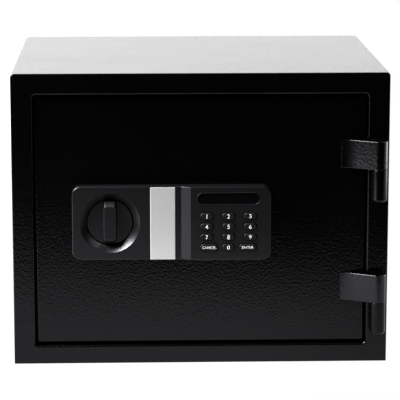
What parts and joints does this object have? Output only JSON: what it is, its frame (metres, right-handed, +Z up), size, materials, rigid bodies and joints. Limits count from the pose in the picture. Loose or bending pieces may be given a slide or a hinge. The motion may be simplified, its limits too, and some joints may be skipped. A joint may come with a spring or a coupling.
{
  "type": "fire-resistant safe",
  "caption": "Box-shaped black steel safe with a right-hinged door, turn knob, keypad lock and an insulated, shelved interior.",
  "frame": {"origin": "middle of the footprint at floor level, under the rubber feet; the hinge barrels count in the footprint", "axes": "+X to the right seen from the front (the hinge side), -Y out of the door's front, +Z up"},
  "size_m": [0.45, 0.399, 0.356],
  "materials": {
    "powder_coat": "satin, finely textured black powder coat",
    "liner_paint": "satin grey paint",
    "fire_fill": "matte, light mineral fill",
    "zinc_steel": "zinc plated",
    "bolt_steel": "turned steel",
    "satin_aluminium": "satin",
    "housing_plastic": "matte black",
    "key_plastic": "matte black with plain white legends",
    "lens": "gloss, nearly opaque black",
    "rubber": "matte black",
    "circuit_board": "green board",
    "brass": "satin",
    "battery_wrap": "plain dark wrap",
    "copper_coil": "enamelled copper winding"
  },
  "bodies": {
    "body": {"outer_casing": "powder_coat", "base_plate": "powder_coat", "back_plate": "powder_coat", "jamb_frame": "powder_coat", "body_insulation": "fire_fill", "inner_liner": "liner_paint", "foot_front_left": "rubber", "foot_front_right": "rubber", "foot_rear_left": "rubber", "foot_rear_right": "rubber", "hinge_barrel_upper": "powder_coat", "hinge_barrel_lower": "powder_coat", "hinge_pin_upper": "bolt_steel", "hinge_pin_lower": "bolt_steel"},
    "shelf": {"shelf": "liner_paint"},
    "door": {"door_skin": "powder_coat", "door_insulation": "fire_fill", "door_back_pan": "powder_coat", "door_seal": "rubber", "mechanism_plate": "zinc_steel", "hinge_strap_upper": "powder_coat", "hinge_strap_lower": "powder_coat", "dead_bolt_upper": "zinc_steel", "dead_bolt_lower": "zinc_steel", "guide_stud_upper": "zinc_steel", "guide_stud_lower": "zinc_steel", "solenoid_coil": "copper_coil", "plunger_spring": "bolt_steel", "lock_housing": "housing_plastic", "display_lens": "lens", "keypad_board": "circuit_board", "override_lock_body": "brass", "battery_box": "housing_plastic", "battery_1": "battery_wrap", "battery_2": "battery_wrap", "battery_3": "battery_wrap", "battery_4": "battery_wrap", "wire_loom": "rubber"},
    "bolt_work": {"bolt_plate": "zinc_steel", "live_bolt_upper": "bolt_steel", "live_bolt_lower": "bolt_steel"},
    "knob_and_crank": {"knob": "housing_plastic", "spindle": "bolt_steel", "crank_disc": "zinc_steel"},
    "plunger": {"solenoid_plunger": "bolt_steel"},
    "key_cover": {"key_cover": "satin_aluminium"},
    "lock_plug": {"override_lock_plug": "brass"},
    "battery_cover": {"battery_cover": "housing_plastic"},
    "key_0": {"key_0": "key_plastic"},
    "key_1": {"key_1": "key_plastic"},
    "key_2": {"key_2": "key_plastic"},
    "key_3": {"key_3": "key_plastic"},
    "key_4": {"key_4": "key_plastic"},
    "key_5": {"key_5": "key_plastic"},
    "key_6": {"key_6": "key_plastic"},
    "key_7": {"key_7": "key_plastic"},
    "key_8": {"key_8": "key_plastic"},
    "key_9": {"key_9": "key_plastic"},
    "key_cancel": {"key_cancel": "key_plastic"},
    "key_enter": {"key_enter": "key_plastic"}
  },
  "joints": [
    {"name": "door_swing", "type": "hinge", "parent": "body", "child": "door", "pos_m": [0.2125, -0.1903, 0.178], "axis": [0, 0, 1], "range_deg": [0, 170]},
    {"name": "shelf_slide", "type": "slide", "parent": "body", "child": "shelf", "axis": [0, -1, 0], "range_m": [0, 0.04]},
    {"name": "knob_turn", "type": "hinge", "parent": "door", "child": "knob_and_crank", "pos_m": [-0.1085, -0.1765, 0.1783], "axis": [0, 1, 0], "range_deg": [0, 90]},
    {"name": "bolt_slide", "type": "slide", "parent": "door", "child": "bolt_work", "axis": [-1, 0, 0], "range_m": [0, 0.018]},
    {"name": "plunger_lift", "type": "slide", "parent": "door", "child": "plunger", "axis": [0, 0, 1], "range_m": [0, 0.005], "stiffness_N_per_m": 100, "springref_m": -0.004, "deforming": ["plunger_spring"]},
    {"name": "key_cover_pull", "type": "slide", "parent": "door", "child": "key_cover", "axis": [0, -1, 0], "range_m": [0, 0.03]},
    {"name": "lock_plug_turn", "type": "hinge", "parent": "door", "child": "lock_plug", "pos_m": [-0.04565, -0.1913, 0.1783], "axis": [0, 1, 0], "range_deg": [0, 90]},
    {"name": "battery_cover_hinge", "type": "hinge", "parent": "door", "child": "battery_cover", "pos_m": [0.052, -0.1069, 0.094], "axis": [-1, 0, 0], "range_deg": [0, 110]},
    {"name": "key_0_press", "type": "slide", "parent": "door", "child": "key_0", "axis": [0, 1, 0], "range_m": [0, 0.0012], "stiffness_N_per_m": 400, "springref_m": -0.0005},
    {"name": "key_1_press", "type": "slide", "parent": "door", "child": "key_1", "axis": [0, 1, 0], "range_m": [0, 0.0012], "stiffness_N_per_m": 400, "springref_m": -0.0005},
    {"name": "key_2_press", "type": "slide", "parent": "door", "child": "key_2", "axis": [0, 1, 0], "range_m": [0, 0.0012], "stiffness_N_per_m": 400, "springref_m": -0.0005},
    {"name": "key_3_press", "type": "slide", "parent": "door", "child": "key_3", "axis": [0, 1, 0], "range_m": [0, 0.0012], "stiffness_N_per_m": 400, "springref_m": -0.0005},
    {"name": "key_4_press", "type": "slide", "parent": "door", "child": "key_4", "axis": [0, 1, 0], "range_m": [0, 0.0012], "stiffness_N_per_m": 400, "springref_m": -0.0005},
    {"name": "key_5_press", "type": "slide", "parent": "door", "child": "key_5", "axis": [0, 1, 0], "range_m": [0, 0.0012], "stiffness_N_per_m": 400, "springref_m": -0.0005},
    {"name": "key_6_press", "type": "slide", "parent": "door", "child": "key_6", "axis": [0, 1, 0], "range_m": [0, 0.0012], "stiffness_N_per_m": 400, "springref_m": -0.0005},
    {"name": "key_7_press", "type": "slide", "parent": "door", "child": "key_7", "axis": [0, 1, 0], "range_m": [0, 0.0012], "stiffness_N_per_m": 400, "springref_m": -0.0005},
    {"name": "key_8_press", "type": "slide", "parent": "door", "child": "key_8", "axis": [0, 1, 0], "range_m": [0, 0.0012], "stiffness_N_per_m": 400, "springref_m": -0.0005},
    {"name": "key_9_press", "type": "slide", "parent": "door", "child": "key_9", "axis": [0, 1, 0], "range_m": [0, 0.0012], "stiffness_N_per_m": 400, "springref_m": -0.0005},
    {"name": "key_cancel_press", "type": "slide", "parent": "door", "child": "key_cancel", "axis": [0, 1, 0], "range_m": [0, 0.0012], "stiffness_N_per_m": 400, "springref_m": -0.0005},
    {"name": "key_enter_press", "type": "slide", "parent": "door", "child": "key_enter", "axis": [0, 1, 0], "range_m": [0, 0.0012], "stiffness_N_per_m": 400, "springref_m": -0.0005}
  ],
  "couplings": [
    {"joint": "knob_turn", "follows": "bolt_slide", "rad_per_m": 87.26}
  ]
}
